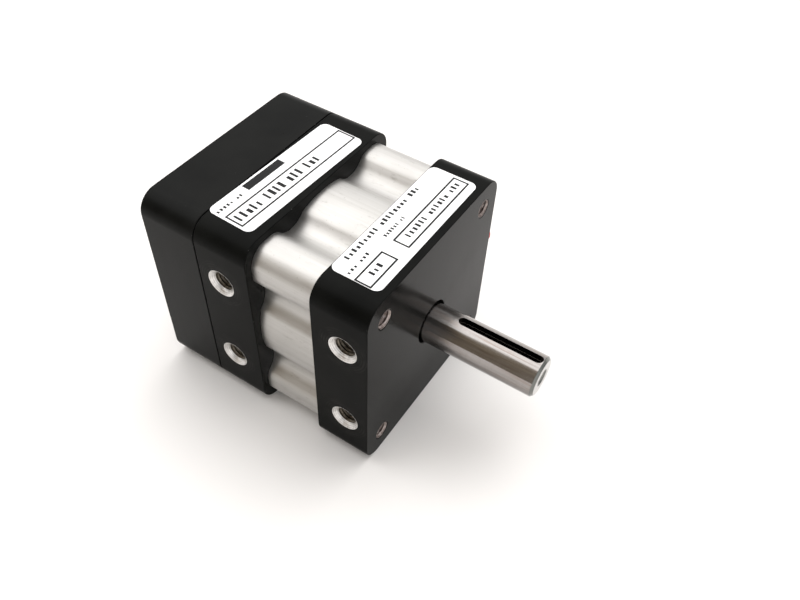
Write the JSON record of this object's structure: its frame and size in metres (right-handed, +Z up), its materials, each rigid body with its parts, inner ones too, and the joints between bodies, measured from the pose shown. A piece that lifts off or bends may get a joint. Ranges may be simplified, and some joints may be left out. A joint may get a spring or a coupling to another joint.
{
  "type": "rotary pneumatic actuator",
  "caption": "Compact square rotary vane actuator with black end caps, lobed aluminium body, side air ports, rear sensor cover and a keyed steel output shaft that turns a quarter turn.",
  "frame": {"origin": "centre of the front mounting face, on the shaft axis", "axes": "+X out along the output shaft, +Z up towards the label side, air ports on the -Y side; the actuator rests on its -Z side"},
  "size_m": [0.0853, 0.0577, 0.0509],
  "materials": {
    "black_anodised": "black anodised aluminium, semi-gloss",
    "clear_anodised": "clear anodised extrusion, satin with lengthwise streaks",
    "ground_steel": "ground shaft steel",
    "bearing_steel": "polished bearing steel",
    "machined_aluminium": "machined",
    "screw_steel": "black oxide",
    "zinc_steel": "bright zinc",
    "seal_rubber": "matt",
    "gasket_fibre": "matt sheet",
    "cage_brass": "machined",
    "board_green": "solder mask",
    "dark_plastic": "moulded",
    "magnet_grey": "nickel plated",
    "plug_red": "moulded polyethylene",
    "label_white": "printed film"
  },
  "bodies": {
    "housing": {"front_cap": "black_anodised", "rear_cap": "black_anodised", "center_body": "clear_anodised", "rear_cover": "black_anodised", "cover_gasket": "gasket_fibre", "cover_screws": "screw_steel", "tie_screws": "screw_steel", "upper_stator_shoe": "machined_aluminium", "lower_stator_shoe": "machined_aluminium", "stator_shoe_seals": "seal_rubber", "stator_dowels": "bearing_steel", "front_body_oring": "seal_rubber", "rear_body_oring": "seal_rubber", "front_shaft_seal": "seal_rubber", "rear_shaft_seal": "seal_rubber", "front_bearing_outer_ring": "bearing_steel", "rear_bearing_outer_ring": "bearing_steel", "sensor_board": "board_green", "position_sensors": "dark_plastic", "terminal_block": "board_green", "board_screws": "zinc_steel", "cable_grommet": "seal_rubber", "vent_port_plug": "plug_red", "front_label": "label_white", "rear_label": "label_white"},
    "shaft": {"output_shaft": "ground_steel", "near_vane": "machined_aluminium", "far_vane": "machined_aluminium", "near_vane_seal": "seal_rubber", "far_vane_seal": "seal_rubber", "vane_screws": "screw_steel", "front_bearing_inner_ring": "bearing_steel", "rear_bearing_inner_ring": "bearing_steel", "magnet_hub": "machined_aluminium", "hub_set_screw": "screw_steel", "sensor_magnet": "magnet_grey"},
    "front_cage": {"front_bearing_cage": "cage_brass", "front_bearing_balls": "bearing_steel"},
    "rear_cage": {"rear_bearing_cage": "cage_brass", "rear_bearing_balls": "bearing_steel"}
  },
  "joints": [
    {"name": "shaft_turn", "type": "hinge", "parent": "housing", "child": "shaft", "pos_m": [0, 0, 0], "axis": [1, 0, 0], "range_deg": [-45, 45]},
    {"name": "front_cage_turn", "type": "hinge", "parent": "housing", "child": "front_cage", "pos_m": [-0.0125, 0, 0], "axis": [1, 0, 0], "range_deg": [-18, 18]},
    {"name": "rear_cage_turn", "type": "hinge", "parent": "housing", "child": "rear_cage", "pos_m": [-0.0306, 0, 0], "axis": [1, 0, 0], "range_deg": [-18, 18]}
  ],
  "couplings": [
    {"joint": "front_cage_turn", "follows": "shaft_turn", "ratio": 0.4},
    {"joint": "rear_cage_turn", "follows": "shaft_turn", "ratio": 0.4}
  ]
}
